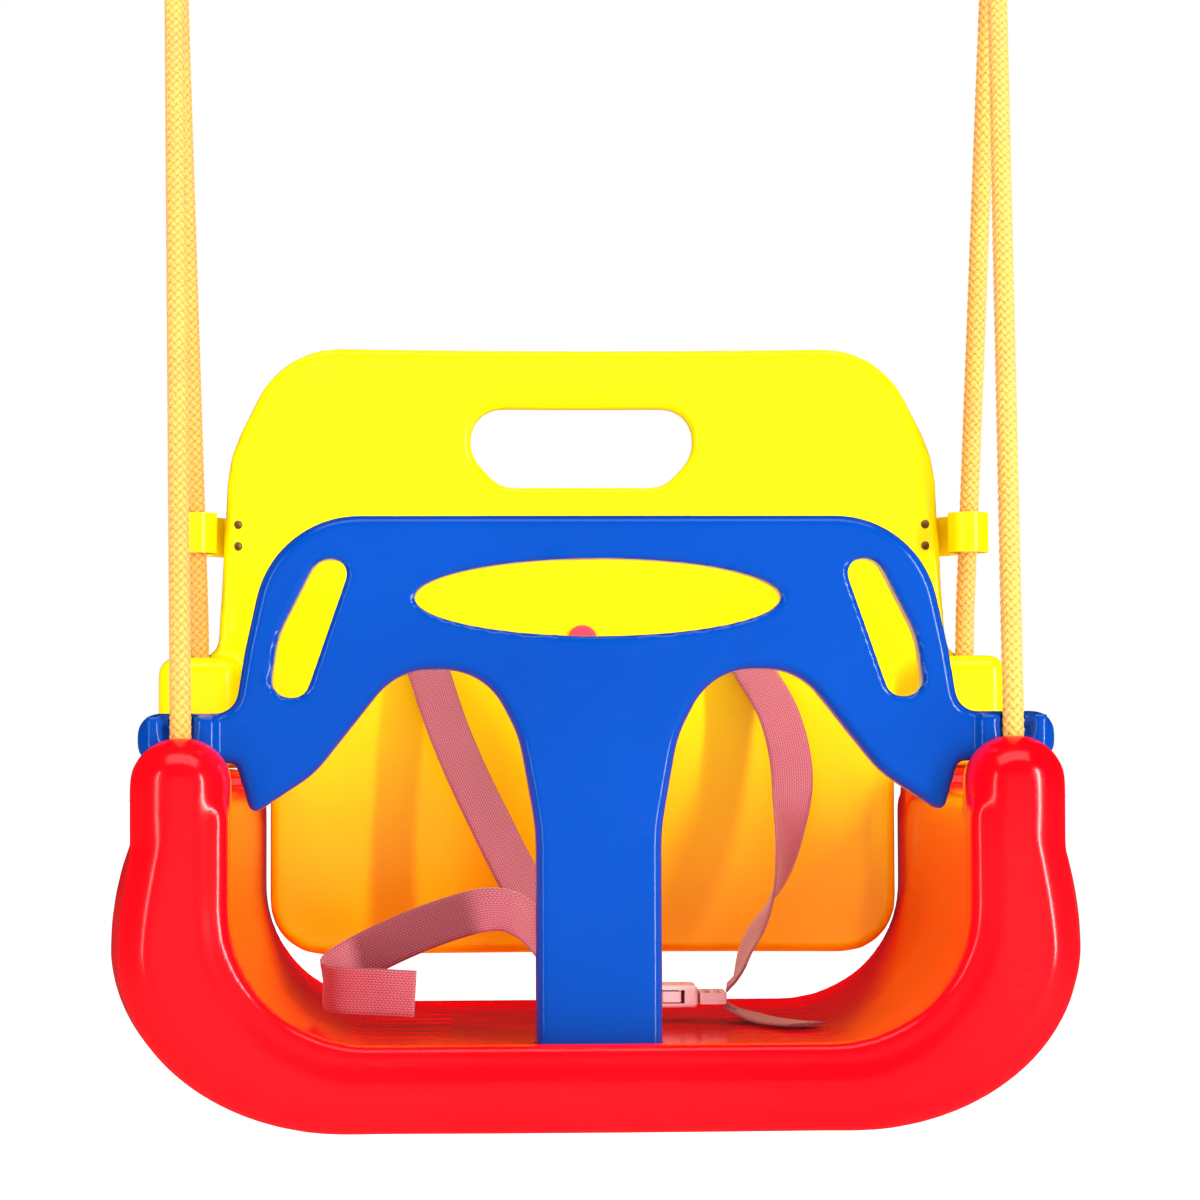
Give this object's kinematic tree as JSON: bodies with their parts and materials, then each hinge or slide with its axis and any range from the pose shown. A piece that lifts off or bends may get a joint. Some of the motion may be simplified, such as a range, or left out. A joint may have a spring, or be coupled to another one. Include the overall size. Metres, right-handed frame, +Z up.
{
  "type": "toddler bucket swing",
  "caption": "Moulded toddler bucket swing: U-shaped seat, dished backrest and lift-up T-bar guard on two braided ropes with rings and snap hooks, with a webbing harness.",
  "frame": {"origin": "midway between the two snap hooks' upper bows, where the swing is hung", "axes": "+Z up; the front of the swing faces -Y; +X is to the viewer's right from the front"},
  "size_m": [0.432, 0.2603, 0.6246],
  "materials": {
    "red_plastic": "glossy moulded polyethylene",
    "yellow_plastic": "glossy moulded polyethylene",
    "blue_plastic": "glossy moulded polyethylene",
    "harness_plastic": "pale acetal",
    "brown_rivet": "dull",
    "zinc_steel": "zinc plated",
    "orange_rope": "braided",
    "red_webbing": "woven"
  },
  "bodies": {
    "root": {"snap_hook_left": "zinc_steel", "snap_hook_right": "zinc_steel", "gate_rivets": "zinc_steel"},
    "swing": {"seat_shell": "red_plastic", "backrest": "yellow_plastic", "clip_rivets": "brown_rivet", "knot_washers": "zinc_steel", "anchor_button": "harness_plastic", "strap_left": "red_webbing", "strap_right": "red_webbing", "strap_tail_left": "red_webbing", "strap_tail_right": "red_webbing", "strap_back_run": "red_webbing", "buckle_socket": "harness_plastic", "buckle_plug": "harness_plastic", "strap_slider": "harness_plastic", "rope_clip_left": "yellow_plastic", "rope_left": "orange_rope", "rope_knots_left": "orange_rope", "hang_ring_left": "zinc_steel", "rope_clip_right": "yellow_plastic", "rope_right": "orange_rope", "rope_knots_right": "orange_rope", "hang_ring_right": "zinc_steel"},
    "guard": {"front_guard": "blue_plastic"},
    "gate_left": {"hook_gate_left": "zinc_steel"},
    "gate_right": {"hook_gate_right": "zinc_steel"},
    "prong_front": {"buckle_prong_front": "harness_plastic"},
    "prong_rear": {"buckle_prong_rear": "harness_plastic"}
  },
  "joints": [
    {"name": "swing_hang", "type": "hinge", "parent": "root", "child": "swing", "pos_m": [0, 0, -0.0391], "axis": [1, 0, 0], "range_deg": [-45, 45]},
    {"name": "guard_lift", "type": "slide", "parent": "swing", "child": "guard", "axis": [0, 0.3048, 0.9524], "range_m": [0, 0.07]},
    {"name": "gate_left_open", "type": "hinge", "parent": "root", "child": "gate_left", "pos_m": [-0.19, -0.01, -0.0345], "axis": [-1, 0, 0], "range_deg": [0, 22], "stiffness_Nm_per_rad": 0.02, "springref_deg": -17.19},
    {"name": "gate_right_open", "type": "hinge", "parent": "root", "child": "gate_right", "pos_m": [0.19, -0.01, -0.0345], "axis": [-1, 0, 0], "range_deg": [0, 22], "stiffness_Nm_per_rad": 0.02, "springref_deg": -17.19},
    {"name": "prong_front_press", "type": "hinge", "parent": "swing", "child": "prong_front", "pos_m": [0.025, -0.017, -0.5641], "axis": [0, 0, 1], "range_deg": [0, 8], "stiffness_Nm_per_rad": 0.02, "springref_deg": -5.73},
    {"name": "prong_rear_press", "type": "hinge", "parent": "swing", "child": "prong_rear", "pos_m": [0.025, 0.001, -0.5641], "axis": [0, 0, -1], "range_deg": [0, 8], "stiffness_Nm_per_rad": 0.02, "springref_deg": -5.73}
  ]
}
